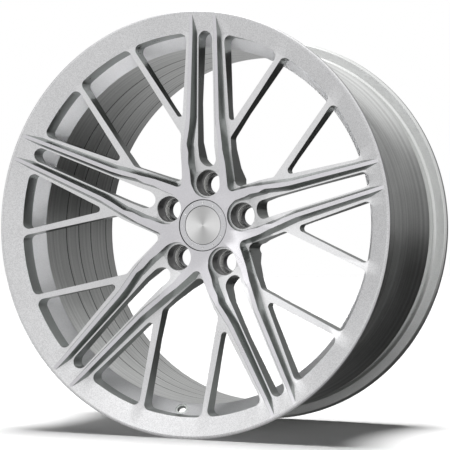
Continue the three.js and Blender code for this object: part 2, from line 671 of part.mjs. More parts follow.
function capStud() {
  const top = CAP_SEAT - BEZEL_HEIGHT - STUD_HEIGHT;
  return turned([
    [0, top],
    [STUD_RADIUS / 2, top],
    [STUD_RADIUS, top + STUD_HEIGHT / 2],
    [STUD_RADIUS, CAP_SEAT],
    [0, CAP_SEAT],
  ], PIN_SEGMENTS);
}

function capBadge() {
  const radius = BEZEL_INNER - BADGE_GROOVE;
  return round(radius, CAP_SEAT - BADGE_HEIGHT, CAP_SEAT, 0, 0, HUB_SEGMENTS);
}

// An open ring of wire that presses the cap's legs outwards.
function springRing() {
  const wire = SPRING_WIRE / 2;
  const inside = LEG_RADIUS - CAP_SHELL;
  const geometry = new THREE.TorusGeometry(inside - GAP - wire, wire, 6, HUB_SEGMENTS);
  geometry.rotateX(Math.PI / 2);
  geometry.translate(0, FRONT + SPRING_DEPTH, 0);
  const split = new THREE.BoxGeometry(SPRING_GAP, 4 * wire, 6 * wire);
  split.translate(0, FRONT + SPRING_DEPTH, -inside);
  return solid(geometry).subtract(solid(split));
}

// ---- The wheel ----

const finishes = {
  face: new THREE.MeshStandardMaterial({ color: 0xd4d4d8, metalness: 1, roughness: 0.32 }),
  barrel: new THREE.MeshStandardMaterial({ color: 0x84868a, metalness: 1, roughness: 0.45 }),
  steel: new THREE.MeshStandardMaterial({ color: 0x9a9c9e, metalness: 1, roughness: 0.35 }),
  spigot: new THREE.MeshStandardMaterial({ color: 0x2a2a2c, metalness: 0, roughness: 0.6 }),
  cap: new THREE.MeshStandardMaterial({ color: 0x3a3c40, metalness: 0, roughness: 0.5 }),
  spun: new THREE.MeshStandardMaterial({ color: 0xd0d0d4, metalness: 1, roughness: 0.25 }),
};

const wheel = new THREE.Group();

function place(name, manifold, finish, angle = 0, offset = [0, 0]) {
  const mesh = new THREE.Mesh(geometryOf(manifold), finishes[finish]);
  mesh.name = name;
  mesh.rotation.y = angle;
  mesh.position.set(offset[0], 0, offset[1]);
  wheel.add(mesh);
}

place('front_rim', frontRim(), 'face');
place('inner_barrel', innerBarrel(), 'barrel');
place('hub', hub(), 'face', PHASE);
const spokeSolid = spoke();
const insertSolid = seatInsert();
for (let i = 0; i < SPOKES; i += 1) {
  const angle = PHASE + i * SECTOR;
  place(`spoke_${i + 1}`, spokeSolid, 'face', angle);
  place(`bolt_seat_${i + 1}`, insertSolid, 'steel', 0, swing([0, BOLT_RADIUS], angle));
}
place('spigot_ring', spigotRing(), 'spigot');
place('cap_body', capBody(), 'cap');
place('cap_bezel', capBezel(), 'spun');
place('cap_badge', capBadge(), 'spun');
place('cap_spring', springRing(), 'steel');
const studSolid = capStud();
studPositions().forEach((at, i) => place(`cap_stud_${i + 1}`, studSolid, 'steel', 0, at));

export default wheel;
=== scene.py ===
# Forged racing wheel rim in silver, standing on a pale studio floor.
import math

import bmesh
import bpy
from mathutils import Matrix, Vector


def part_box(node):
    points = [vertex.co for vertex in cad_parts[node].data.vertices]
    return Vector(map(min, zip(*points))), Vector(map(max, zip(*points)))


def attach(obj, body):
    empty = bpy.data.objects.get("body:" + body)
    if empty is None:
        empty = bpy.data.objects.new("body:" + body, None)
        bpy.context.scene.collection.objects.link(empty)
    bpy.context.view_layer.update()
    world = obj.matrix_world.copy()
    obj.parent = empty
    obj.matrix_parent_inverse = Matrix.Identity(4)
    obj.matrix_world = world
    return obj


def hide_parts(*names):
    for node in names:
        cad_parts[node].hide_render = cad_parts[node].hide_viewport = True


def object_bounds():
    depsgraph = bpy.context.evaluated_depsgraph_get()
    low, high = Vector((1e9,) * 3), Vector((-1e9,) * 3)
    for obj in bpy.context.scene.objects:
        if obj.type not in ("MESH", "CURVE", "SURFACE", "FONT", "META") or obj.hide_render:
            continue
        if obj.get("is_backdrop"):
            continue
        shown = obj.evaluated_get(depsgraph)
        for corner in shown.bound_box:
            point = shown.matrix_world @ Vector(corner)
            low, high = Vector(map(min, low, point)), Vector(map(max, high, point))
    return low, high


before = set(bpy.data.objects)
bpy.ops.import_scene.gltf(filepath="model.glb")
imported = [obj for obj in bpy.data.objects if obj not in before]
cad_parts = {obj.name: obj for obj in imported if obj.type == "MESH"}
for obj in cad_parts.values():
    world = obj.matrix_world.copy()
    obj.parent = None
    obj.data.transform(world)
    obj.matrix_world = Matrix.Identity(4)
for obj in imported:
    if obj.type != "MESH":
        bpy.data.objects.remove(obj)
cad_low, cad_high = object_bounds()
scene = bpy.context.scene

# ---- Camera, floor and light ----
# The wheel stands on a pale floor that runs into a white backdrop, seen from its outboard
# side, from a little to the right of the axle and just below it.

CAMERA_TURN = math.radians(23.52)
CAMERA_RISE = math.radians(-1.47)
CAMERA_AWAY = 1.9456
SENSOR = 36
LENS = 113.92

towards_camera = Vector((
    math.sin(CAMERA_TURN) * math.cos(CAMERA_RISE),
    -math.cos(CAMERA_TURN) * math.cos(CAMERA_RISE),
    math.sin(CAMERA_RISE),
))
camera_data = bpy.data.cameras.new("camera")
camera_data.sensor_width = SENSOR
camera_data.lens = LENS
camera_data.shift_x = -0.00333333
camera_data.shift_y = 0.00377778
camera = bpy.data.objects.new("camera", camera_data)
camera.location = towards_camera * CAMERA_AWAY
camera.rotation_euler = (-towards_camera).to_track_quat("-Z", "Y").to_euler()
scene.collection.objects.link(camera)
scene.camera = camera
scene.view_settings.view_transform = "Standard"


def node_tree(owner):
    owner.use_nodes = True
    tree = owner.node_tree
    tree.nodes.clear()
    return tree


def add(tree, kind, inputs=None, **settings):
    """One shader node, with its settings, and values or links for its inputs."""
    node = tree.nodes.new(kind)
    for name, value in settings.items():
        setattr(node, name, value)
    for name, value in (inputs or {}).items():
        if isinstance(value, bpy.types.NodeSocket):
            tree.links.new(value, node.inputs[name])
        else:
            node.inputs[name].default_value = value
    return node


# Metal sees a bright studio ahead and overhead and a dimmer one behind; the eye sees white.
world = bpy.data.worlds.new("studio")
scene.world = world
tree = node_tree(world)
direction = add(tree, "ShaderNodeTexCoord")
split = add(tree, "ShaderNodeSeparateXYZ", {"Vector": direction.outputs["Generated"]})
behind = add(tree, "ShaderNodeMapRange", {
    "Value": split.outputs["X"], "From Min": 0.25, "From Max": -0.3,
    "To Min": 0.19, "To Max": 0.42,
}, interpolation_type="SMOOTHSTEP")
right = add(tree, "ShaderNodeMapRange", {
    "Value": split.outputs["X"], "From Min": 0.1, "From Max": 0.7, "To Min": 0.7, "To Max": 0.88,
}, interpolation_type="SMOOTHSTEP")
ahead = add(tree, "ShaderNodeMapRange", {
    "Value": split.outputs["Y"], "From Min": 0.35, "From Max": -0.45,
    "To Min": behind.outputs[0], "To Max": right.outputs[0],
}, interpolation_type="SMOOTHSTEP")
overhead = add(tree, "ShaderNodeMapRange", {
    "Value": split.outputs["Z"], "From Min": 0.25, "From Max": 0.8, "To Min": 0.0, "To Max": 1.0,
}, interpolation_type="SMOOTHSTEP")
studio = add(tree, "ShaderNodeMath", {0: ahead.outputs[0], 1: overhead.outputs[0]},
             operation="MAXIMUM")
ray = add(tree, "ShaderNodeLightPath")
reflected = add(tree, "ShaderNodeMath", {
    0: ray.outputs["Is Glossy Ray"], 1: ray.outputs["Is Transmission Ray"],
}, operation="MAXIMUM")
lit = add(tree, "ShaderNodeMix", {
    "Factor": reflected.outputs[0], "A": 0.03, "B": studio.outputs[0],
}, data_type="FLOAT")
seen = add(tree, "ShaderNodeMix", {
    "Factor": ray.outputs["Is Camera Ray"], "A": lit.outputs[0], "B": 1.0,
}, data_type="FLOAT")
background = add(tree, "ShaderNodeBackground", {
    "Color": (1, 1, 1, 1), "Strength": seen.outputs[0],
})
add(tree, "ShaderNodeOutputWorld", {"Surface": background.outputs[0]})


def lamp(name, at, size, power, aim=(0, 0, 0)):
    data = bpy.data.lights.new(name, "AREA")
    data.shape = "RECTANGLE"
    data.size, data.size_y = size
    data.energy = power
    light = bpy.data.objects.new(name, data)
    light.location = at
    light.rotation_euler = (Vector(aim) - Vector(at)).to_track_quat("-Z", "Y").to_euler()
    scene.collection.objects.link(light)


lamp("top_softbox", (-0.4, -0.5, 2.0), (1.6, 1.2), 8)
lamp("left_softbox", (-2.2, -1.8, 0.9), (1.2, 1.6), 5)
sky = bpy.data.objects.new("ceiling", bpy.data.lights.new("ceiling", "SUN"))
sky.data.energy = 3.9
sky.data.angle = math.radians(22)
sky.rotation_euler = (math.radians(-3), math.radians(1), 0)
sky.visible_glossy = False
scene.collection.objects.link(sky)

# The floor is white under the ceiling light and dark under the wheel. Metal sees it pale in
# front of the wheel and dark beside and behind it.
bm = bmesh.new()
bmesh.ops.create_grid(bm, x_segments=1, y_segments=1, size=20)
bmesh.ops.translate(bm, vec=(0, 0, cad_low[2]), verts=bm.verts)
mesh = bpy.data.meshes.new("floor")
bm.to_mesh(mesh)
bm.free()
floor = bpy.data.objects.new("floor", mesh)
scene.collection.objects.link(floor)
paint = bpy.data.materials.new("floor_paint")
tree = node_tree(paint)
plain = add(tree, "ShaderNodeBsdfDiffuse", {"Color": (0.9, 0.9, 0.9, 1)})
here = add(tree, "ShaderNodeTexCoord").outputs["Object"]
split = add(tree, "ShaderNodeSeparateXYZ", {"Vector": here})
front_light = add(tree, "ShaderNodeMapRange", {
    "Value": split.outputs["Y"], "From Min": 0.2, "From Max": -0.5, "To Min": 0.03, "To Max": 0.8,
}, interpolation_type="SMOOTHSTEP")
left_light = add(tree, "ShaderNodeMapRange", {
    "Value": split.outputs["X"], "From Min": 0.2, "From Max": -0.5, "To Min": 0.02, "To Max": 0.45,
}, interpolation_type="SMOOTHSTEP")
floor_light = add(tree, "ShaderNodeMath", {0: front_light.outputs[0], 1: left_light.outputs[0]},
                  operation="MAXIMUM")
mirrored = add(tree, "ShaderNodeEmission", {"Strength": floor_light.outputs[0]})
ray = add(tree, "ShaderNodeLightPath")
shader = add(tree, "ShaderNodeMixShader", {
    0: ray.outputs["Is Glossy Ray"], 1: plain.outputs[0], 2: mirrored.outputs[0],
})
add(tree, "ShaderNodeOutputMaterial", {"Surface": shader.outputs[0]})
mesh.materials.append(paint)
floor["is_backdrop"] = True

# ---- Forged face ----
# Hub, five twin spokes and the front of the rim are one aluminium forging. It is turned to a
# plain dish first; the windows, the slots and the channels between the arms are then milled
# out of it, which leaves the arms standing on the dish as narrow drafted ridges.

FRONT = cad_low[1] * 1000                  # millimetres from here on, and depths from this plane
FLANGE_RADIUS = cad_high[2] * 1000
PAD_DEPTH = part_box("hub")[1][1] * 1000 - FRONT
HUB_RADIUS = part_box("hub")[1][2] * 1000
CAP_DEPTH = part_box("cap_body")[0][1] * 1000 - FRONT
FLANGE_HEIGHT = 17.3
FLANGE_THICKNESS = 10.9
FLANGE_EDGE = 1.5
SEAT_RADIUS = FLANGE_RADIUS - FLANGE_HEIGHT
RING_RADIUS = SEAT_RADIUS - 8.9
WELL_RADIUS = SEAT_RADIUS - 17.4
WELL_INSIDE = WELL_RADIUS - 5.6
SEAM_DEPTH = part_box("inner_barrel")[0][1] * 1000 - FRONT - 0.15
SECTOR = math.radians(72)
HALF = SECTOR / 2
PHASE = math.radians(5.5)
STEP = math.radians(1.5)                   # facets round the face
DRAFT = math.tan(math.radians(26))

HUB_DEPTH = PAD_DEPTH - 43.9
FLOOR_DEPTH = PAD_DEPTH - 37.9
KINK = 105                                 # the face turns steeper towards the hub inside this
BEND = 140                                 # the arms spread wider inside this
HUB_FLAT = 50
RING_FLOOR = 15                            # the ring face at its inner edge
RING_WALL_END = 38                         # and where its inner wall stops
BOLT_RADIUS = 56
POCKET_RADIUS = 17.3
POCKET_TURN = BOLT_RADIUS + 1.2            # the channel turns round the pocket about this
CHANNEL_ROUND = 21
RIDGE_TOP = [(HUB_FLAT, HUB_DEPTH), (KINK, PAD_DEPTH - 66.4), (RING_RADIUS, 7.8),
             (FLANGE_RADIUS - 4.1, 1.2)]
FLOOR = [(HUB_RADIUS - 4, FLOOR_DEPTH), (KINK, PAD_DEPTH - 54.9), (RING_RADIUS, RING_FLOOR)]
BACK = [(RING_RADIUS, RING_WALL_END), (160, PAD_DEPTH - 51.9), (110, PAD_DEPTH - 36.9),
        (88, PAD_DEPTH - 18.9), (HUB_RADIUS, PAD_DEPTH)]


def metal(name, colour, rough, flake=0.0, marks=0.0, mark_axis="RADIUS", pitch=900, stain=0.06,
          metallic=1.0, coat=0.0, bands=0.0):
    """Metal with a slow stain, and metallic flake or turning marks if it has them."""
    material = bpy.data.materials.new(name)
    tree = node_tree(material)
    here = add(tree, "ShaderNodeTexCoord").outputs["Object"]
    cloud = add(tree, "ShaderNodeTexNoise", {"Vector": here, "Scale": 14.0, "Detail": 5.0,
                                             "Roughness": 0.62})
    fine = add(tree, "ShaderNodeTexNoise", {"Vector": here, "Scale": 420.0, "Detail": 3.0})
    tone = add(tree, "ShaderNodeMapRange", {
        "Value": cloud.outputs["Fac"], "From Min": 0.3, "From Max": 0.7,
        "To Min": 1.0 - stain, "To Max": 1.0 + stain / 2,
    })
    grain = add(tree, "ShaderNodeTexVoronoi", {"Vector": here, "Scale": 1200.0})
    spark = add(tree, "ShaderNodeSeparateColor", {"Color": grain.outputs["Color"]})
    sparkle = add(tree, "ShaderNodeMapRange", {
        "Value": spark.outputs[0], "To Min": 1.0 - flake, "To Max": 1.0 + flake * 0.6,
    })
    shade = add(tree, "ShaderNodeMath", {0: tone.outputs[0], 1: sparkle.outputs[0]},
                operation="MULTIPLY")
    parts = add(tree, "ShaderNodeSeparateXYZ", {"Vector": here})
    flat = add(tree, "ShaderNodeCombineXYZ", {"X": parts.outputs["X"], "Y": parts.outputs["Z"]})
    radius = add(tree, "ShaderNodeVectorMath", {0: flat.outputs[0]}, operation="LENGTH")
    along = radius.outputs["Value"] if mark_axis == "RADIUS" else parts.outputs["Y"]
    lines = add(tree, "ShaderNodeTexNoise", {"W": along, "Scale": float(pitch), "Detail": 2.0},
                noise_dimensions="1D")
    wide = add(tree, "ShaderNodeTexNoise", {"W": along, "Scale": 170.0, "Detail": 3.0},
               noise_dimensions="1D")
    band = add(tree, "ShaderNodeMapRange", {
        "Value": wide.outputs["Fac"], "From Min": 0.35, "From Max": 0.65,
        "To Min": 1.0 - bands, "To Max": 1.0 + bands,
    })
    banded = add(tree, "ShaderNodeMath", {0: shade.outputs[0], 1: band.outputs[0]},
                 operation="MULTIPLY")
    body = add(tree, "ShaderNodeVectorMath", {0: colour, 3: banded.outputs[0]}, operation="SCALE")
    surface = add(tree, "ShaderNodeMath", {0: lines.outputs["Fac"], 1: marks},
                  operation="MULTIPLY")
    relief = add(tree, "ShaderNodeMath", {
        0: fine.outputs["Fac"], 1: 0.25, 2: surface.outputs[0],
    }, operation="MULTIPLY_ADD")
    bump = add(tree, "ShaderNodeBump", {"Height": relief.outputs[0], "Strength": 0.25,
                                        "Distance": 0.0004})
    wear = add(tree, "ShaderNodeMapRange", {
        "Value": cloud.outputs["Fac"], "From Min": 0.3, "From Max": 0.7,
        "To Min": rough - 0.04, "To Max": rough + 0.05,
    })
    shader = add(tree, "ShaderNodeBsdfPrincipled", {
        "Base Color": body.outputs[0], "Metallic": metallic, "Roughness": wear.outputs[0],
        "Coat Weight": coat, "Coat Roughness": 0.12, "Normal": bump.outputs[0],
    })
    add(tree, "ShaderNodeOutputMaterial", {"Surface": shader.outputs[0]})
    return material


satin = metal("satin_face", (0.84, 0.84, 0.85), 0.36, flake=0.16, coat=0.2)
# The ridge tops have real turning marks, and their colour is darker than the face metal as painted
# shade.
ridge_marks_and_shade = metal("ridge_face", (0.80, 0.79, 0.82), 0.3, flake=0.05, marks=0.5)
# The milled walls are the face's own metal coloured dark grey: painted shade on the walls of the
# windows, slots, channels and valve hole.
milled = metal("milled_wall_shade", (0.44, 0.46, 0.45), 0.3, flake=0.06)
# The bolt pockets, bores and relief holes are coloured dark grey as painted shade.
pocket_shade = metal("pocket", (0.44, 0.44, 0.44), 0.4, marks=0.4, mark_axis="Y")
# The ledge colour is a lighter copy of the face metal: painted light.
painted_light_ledge = metal("painted_light_ledge", (0.87, 0.87, 0.88), 0.3, flake=0.08, coat=0.3)
# The collar's near-white, barely metallic colour is a painted reflection of the bright studio
# ahead.
cone_painted_reflection = metal("cone_painted_reflection", (0.95, 0.95, 0.97), 0.42, flake=0.05, marks=0.3, mark_axis="Y",
                   metallic=0.25, coat=0.2)
FACE_FINISHES = [satin, ridge_marks_and_shade, milled, pocket_shade, painted_light_ledge, cone_painted_reflection]
SATIN, RIDGE_SHADED, MILLED_SHADE, POCKET_SHADE, LEDGE_PAINTED_LIGHT, CONE_PAINTED_REFLECTION = range(6)


def straight(points, at):
    """The height of a chain of straight runs, continued past its ends."""
    points = sorted(points)
    i = 1
    while i < len(points) - 1 and at > points[i][0]:
        i += 1
    (x0, y0), (x1, y1) = points[i - 1], points[i]
    return y0 + (y1 - y0) * (at - x0) / (x1 - x0)


def object_of(bm, name, finishes):
    bmesh.ops.recalc_face_normals(bm, faces=bm.faces)
    mesh = bpy.data.meshes.new(name)
    bm.to_mesh(mesh)
    bm.free()
    for finish in finishes:
        mesh.materials.append(finish)
    piece = bpy.data.objects.new(name, mesh)
    scene.collection.objects.link(piece)
    return piece


def pulled(bm, face):
    """The face drawn out of the mesh: its old place opens, and the new end is returned."""
    made = bmesh.ops.extrude_face_region(bm, geom=[face])
    if face.is_valid:
        bmesh.ops.delete(bm, geom=[face], context="FACES_ONLY")
    return [g for g in made["geom"] if isinstance(g, bmesh.types.BMFace)][0]


def started(bm, corners, finish):
    """A first section, closed behind, with its front end ready to be pulled."""
    behind = bm.faces.new(corners)
    behind.material_index = finish
    made = bmesh.ops.extrude_face_region(bm, geom=[behind], use_keep_orig=True)
    return [g for g in made["geom"] if isinstance(g, bmesh.types.BMFace)][0]


def turned_wedge(outline, start, sweep, finish=SATIN):
    """A closed outline of (radius, depth) points, swept round the axle."""
    bm = bmesh.new()
    corners = [bm.verts.new((0, FRONT + depth, radius)) for radius, depth in outline]
    bmesh.ops.rotate(bm, verts=bm.verts, matrix=Matrix.Rotation(start, 3, "Y"))
    front = started(bm, corners, finish)
    step = Matrix.Rotation(STEP, 3, "Y")
    bmesh.ops.rotate(bm, verts=front.verts, matrix=step)
    for _ in range(round(sweep / STEP) - 1):
        front = pulled(bm, front)
        bmesh.ops.rotate(bm, verts=front.verts, matrix=step)
    return bm


def prism(outline, low, high, finish=MILLED_SHADE):
    """An outline of (across, up) points, milled straight through between two depths."""
    bm = bmesh.new()
    front = started(bm, [bm.verts.new((x, FRONT + low, z)) for x, z in outline], finish)
    bmesh.ops.translate(bm, vec=(0, high - low, 0), verts=front.verts)
    return bm


def drafted(sections, finish):
    """A milling path: four-cornered sections, each pulled from the last."""
    bm = bmesh.new()
    front = started(bm, [bm.verts.new(point) for point in sections[0]], finish)
    for i, (before, after) in enumerate(zip(sections, sections[1:])):
        if i:
            front = pulled(bm, front)
        for vert in front.verts:
            nearest = min(range(4), key=lambda k: (vert.co - Vector(before[k])).length)
            vert.co = after[nearest]
    # The walls are twisted, so they are split here by length, the same way every time.
    bmesh.ops.triangulate(bm, faces=bm.faces[:], quad_method="SHORT_EDGE")
    return bm


def boolean(base, other, operation):
    """Cuts other from base, or joins it on, and clears other away."""
    modifier = base.modifiers.new("milling", "BOOLEAN")
    modifier.object = other
    modifier.operation = operation
    modifier.solver = "EXACT"
    graph = bpy.context.evaluated_depsgraph_get()
    mesh = bpy.data.meshes.new_from_object(base.evaluated_get(graph))
    base.modifiers.clear()
    base.data = mesh
    bpy.data.objects.remove(other)


def swing(x, z, angle):
    """A point turned clockwise round the axle, as seen from the front."""
    return x * math.cos(angle) + z * math.sin(angle), z * math.cos(angle) - x * math.sin(angle)

# Where the arm's outer top edge runs, as (up, across) in the spoke's own frame.
MEET = BOLT_RADIUS + 1
ARM_OUTER = [(MEET * math.cos(HALF), MEET * math.sin(HALF)), (KINK, 28.1), (BEND, 23.2),
             (RING_RADIUS, 19.4)]
ARM_WIDTH = [(POCKET_TURN, 10), (KINK, 5.4), (RING_RADIUS, 4.6)]
LEDGE = [(ARM_OUTER[0][0], 5.6), (KINK, 8.4), (BEND, 10), (RING_RADIUS, 6.6)]
REACH = 20                                  # the milling cutter starts above the metal
SKIRT = 16                                  # and runs this far below the arm's top
TIP = FLANGE_RADIUS + 6
V_ROUND = 7                                 # corner between neighbouring arms
CORNER_LEAN = 0.72                          # the wall is steeper in that corner


def top_depth(across, up):
    return straight(RIDGE_TOP, max(math.hypot(across, up), HUB_FLAT))


def arm_ring(edge, far, draft_out, far_draft=0.0):
    """One section of a drafted milling path. edge is on the arm's top edge, far is well clear.
    draft_out points away from the metal, and a shorter one gives a steeper wall."""
    (x, z), (fx, fz), (dx, dz) = edge, far, draft_out
    depth = top_depth(x, z)
    return [
        (x - dx * REACH * DRAFT, FRONT + depth - REACH, z - dz * REACH * DRAFT),
        (x + dx * SKIRT * DRAFT, FRONT + depth + SKIRT, z + dz * SKIRT * DRAFT),
        (fx, FRONT + depth + SKIRT, fz + far_draft * SKIRT * DRAFT),
        (fx, FRONT + depth - REACH, fz - far_draft * REACH * DRAFT),
    ]


# Channel between the arms: round the bolt pocket, then out along both arms' inner edges.
POCKET_LEAN = 0.35                         # the wall is steeper round the pocket
channel = []
for i in range(15):
    angle = math.radians(1 + 89 * i / 14)
    out = (math.sin(angle), -math.cos(angle))
    edge = (CHANNEL_ROUND * out[0], POCKET_TURN + CHANNEL_ROUND * out[1])
    leaning = (-out[0] * POCKET_LEAN, -out[1] * POCKET_LEAN)
    channel.append(arm_ring(edge, (-1, edge[1]), leaning, leaning[1]))
for up, lean in ((80, 0.5), (KINK, 0.85), (BEND, 1), (RING_RADIUS, 1), (TIP, 1)):
    across = straight(ARM_OUTER, up) - straight(ARM_WIDTH, up)
    channel.append(arm_ring((across, up), (-1, up), (-lean, 0)))

# Outside the arm: round the corner between two arms, then out along the arm's outer edge.
(u0, v0), (u1, v1) = ARM_OUTER[:2]
middle = (math.sin(HALF), math.cos(HALF))
edge_way = Vector((v1 - v0, u1 - u0)).normalized()
splay = edge_way.angle(Vector(middle))
centre = Vector((v0, u0)) + Vector(middle) * V_ROUND / math.sin(splay)
outer = []
start = math.atan2(-middle[1], -middle[0]) + math.radians(12)
normal = Vector((-edge_way[1], edge_way[0]))
end = math.atan2(normal[1], normal[0])
for i in range(11):
    angle = start + (end - start - 2 * math.pi * round((end - start) / (2 * math.pi))) * i / 10
    out = (math.cos(angle), math.sin(angle))
    edge = (centre[0] + V_ROUND * out[0], centre[1] + V_ROUND * out[1])
    beyond = (centre[0] + middle[1] * 1.5 + middle[0] * 0.3 * i,
              centre[1] - middle[0] * 1.5 + middle[1] * 0.3 * i)
    outer.append(arm_ring(edge, beyond, (-out[0] * CORNER_LEAN, -out[1] * CORNER_LEAN)))
for up in (KINK, BEND, RING_RADIUS, TIP):
    across = straight(ARM_OUTER, up)
    outer.append(arm_ring((across, up), (up * math.tan(HALF) + 8, up), (1, 0)))


def arc(centre, radius, start, end, steps=10):
    sweep = (end - start + math.pi) % (2 * math.pi) - math.pi
    angles = [start + sweep * i / steps for i in range(steps + 1)]
    return [(centre[0] + radius * math.cos(t), centre[1] + radius * math.sin(t)) for t in angles]


def fillet(before, corner, after, radius):
    """A round corner between two straight edges."""
    to_a = (Vector(before) - Vector(corner)).normalized()
    to_b = (Vector(after) - Vector(corner)).normalized()
    half = to_a.angle(to_b) / 2
    middle = Vector(corner) + (to_a + to_b).normalized() * radius / math.sin(half)
    start = Vector(corner) + to_a * radius / math.tan(half) - middle
    end = Vector(corner) + to_b * radius / math.tan(half) - middle
    return arc(middle, radius, math.atan2(start[1], start[0]), math.atan2(end[1], end[0]))


def ring_fillet(a, b, radius, side):
    """A round corner between the edge from a out to b and the ring's inner wall."""
    way = (Vector(b) - Vector(a)).normalized()
    inward = Vector((way[1] * side, -way[0] * side))
    start = Vector(a) + inward * radius
    travel = start.dot(way)
    run = math.sqrt(travel * travel - start.dot(start) + (RING_RADIUS - radius) ** 2) - travel
    middle = start + way * run
    return arc(middle, radius, math.atan2(-inward[1], -inward[0]),
               math.atan2(middle[1], middle[0]))


def opening(chain, rounds, ring_round):
    """A window: corners down its left side and up its right, closed by the ring's inner wall."""
    points = ring_fillet(chain[1], chain[0], ring_round, 1)[::-1]
    for before, corner, after, radius in zip(chain, chain[1:], chain[2:], rounds):
        points += fillet(before, corner, after, radius) if radius else [corner]
    points += ring_fillet(chain[-2], chain[-1], ring_round, -1)
    right, left = points[-1], points[0]
    start, end = (math.atan2(p[1], p[0]) for p in (right, left))
    steps = max(2, round(abs(end - start) / STEP))
    return points + arc((0, 0), RING_RADIUS, start, end, steps)[1:-1]


# Windows. The branches run parallel to the line half way between two spokes.
BRANCH_OFFSET = 44.8
BRANCH_RING = 6.6 / 2
BRANCH_ROOT = 9.5 / 2
BEYOND = RING_RADIUS + 10
window_edge = [(up, across + straight(LEDGE, up)) for up, across in ARM_OUTER]


def branch_meets(offset):
    """Where a line parallel to the sector's middle crosses the arm's window edge."""
    for (u1, v1), (u2, v2) in zip(window_edge[1:], window_edge[2:]):
        slope = (v2 - v1) / (u2 - u1)
        gap = offset + math.cos(HALF) * (v1 - slope * u1)
        up = gap / (math.sin(HALF) - math.cos(HALF) * slope)
        if up < u2:
            break
    return v1 + slope * (up - u1), up


root = swing(*branch_meets(BRANCH_OFFSET - BRANCH_ROOT), -HALF)
kink = swing(window_edge[1][1], KINK, -HALF)
hub_end = swing(window_edge[0][1], window_edge[0][0], -HALF)
rise = (kink[1] - hub_end[1]) / (kink[0] - hub_end[0])
left_side = [(-BRANCH_OFFSET + BRANCH_RING, BEYOND), root, kink]
right_side = [(-x, z) for x, z in left_side[::-1]]
hub_corner = (0, kink[1] - rise * kink[0])
CENTRE_WINDOW = opening(left_side + [hub_corner] + right_side, (8, 14, 7, 14, 8), 8)
SIDE_WINDOW = opening([
    (straight(window_edge, BEYOND), BEYOND),
    branch_meets(BRANCH_OFFSET + BRANCH_ROOT),
    swing(-BRANCH_OFFSET - BRANCH_RING, BEYOND, HALF),
], (4.5,), 8)
SLOT_HUB = 12
SLOT_RING = 9.6
slot_start = HUB_RADIUS + 2 + SLOT_HUB
slot_end = RING_RADIUS + 2.2 - SLOT_RING
SLOT = (arc((0, slot_start), SLOT_HUB, -math.pi, -0.001, 20)
        + arc((0, slot_end), SLOT_RING, 0, math.pi - 0.001, 20))

# One half sector, from a spoke's middle to the line half way to the next.
WEDGE = (-4 * STEP, 32 * STEP)
CONE_RUN = RING_RADIUS - WELL_INSIDE - 0.7
CONE_END = RING_WALL_END + CONE_RUN
CAP_RECESS = 34.4
BORE = 30.5
dish = object_of(turned_wedge([
    (20, FLOOR_DEPTH), *FLOOR, (FLANGE_RADIUS - 3.6, 0.5), (FLANGE_RADIUS - 3.6, 0),
    (FLANGE_RADIUS - FLANGE_EDGE, 0), (FLANGE_RADIUS, FLANGE_EDGE),
    (FLANGE_RADIUS, FLANGE_THICKNESS - 3), (FLANGE_RADIUS - 3, FLANGE_THICKNESS),
    (SEAT_RADIUS + 3, FLANGE_THICKNESS), (SEAT_RADIUS, FLANGE_THICKNESS + 3),
    (SEAT_RADIUS, 34.9), (SEAT_RADIUS - 2, 37.5), *BACK, (20, PAD_DEPTH),
], *WEDGE), "dish", FACE_FINISHES)
# The arms' blank takes the ridge colour, which is darkened with painted shade.
arms = object_of(turned_wedge([
    (20, HUB_DEPTH), *RIDGE_TOP, (RIDGE_TOP[-1][0], 7.7), (SEAT_RADIUS - 1.6, 15.6),
    (RING_RADIUS + 1, 30), (KINK, 60), (HUB_RADIUS, 78), (20, 72),
], -3 * STEP, 30 * STEP, RIDGE_SHADED), "arms", FACE_FINISHES)
# The channel and outside cutters leave their dark painted-shade colour on the arms' side walls.
boolean(arms, object_of(drafted(channel, MILLED_SHADE), "channel", FACE_FINISHES), "DIFFERENCE")
boolean(arms, object_of(drafted(outer, MILLED_SHADE), "outside", FACE_FINISHES), "DIFFERENCE")
boolean(dish, arms, "UNION")


def drill(radius, at, low, high, finish, sides=64):
    bm = bmesh.new()
    bmesh.ops.create_cone(bm, cap_ends=True, segments=sides, radius1=radius, radius2=radius,
                          depth=high - low)
    bmesh.ops.rotate(bm, verts=bm.verts, matrix=Matrix.Rotation(math.pi / 2, 3, "X"))
    bmesh.ops.translate(bm, verts=bm.verts, vec=(at[0], FRONT + (low + high) / 2, at[1]))
    for face in bm.faces:
        face.material_index = finish
    return object_of(bm, "drill", FACE_FINISHES)


# The cap's recess and bore, its snap groove, and the wider bore for the car's hub.
recess = HUB_DEPTH + 4.6
groove = recess + 9
# These cuts and the pockets below leave their walls dark with painted shade.
boolean(dish, object_of(turned_wedge([
    (5, HUB_DEPTH - 9), (CAP_RECESS, HUB_DEPTH - 9), (CAP_RECESS, recess), (BORE, recess),
    (BORE, groove), (BORE + 1.2, groove), (BORE + 1.2, groove + 4), (BORE, groove + 4),
    (BORE, PAD_DEPTH - 12), (36.3, PAD_DEPTH - 12), (36.3, PAD_DEPTH + 9), (5, PAD_DEPTH + 9),
], -6 * STEP, 36 * STEP, POCKET_SHADE), "bore", FACE_FINISHES), "DIFFERENCE")
THROUGH = (-20, PAD_DEPTH + 20)
window = object_of(prism(CENTRE_WINDOW, *THROUGH), "window", FACE_FINISHES)
window.data.transform(Matrix.Rotation(HALF, 4, "Y"))
boolean(dish, window, "DIFFERENCE")
boolean(dish, object_of(prism(SIDE_WINDOW, *THROUGH), "window", FACE_FINISHES), "DIFFERENCE")
boolean(dish, object_of(prism(SLOT, *THROUGH), "slot", FACE_FINISHES), "DIFFERENCE")
bolt = (0, BOLT_RADIUS)
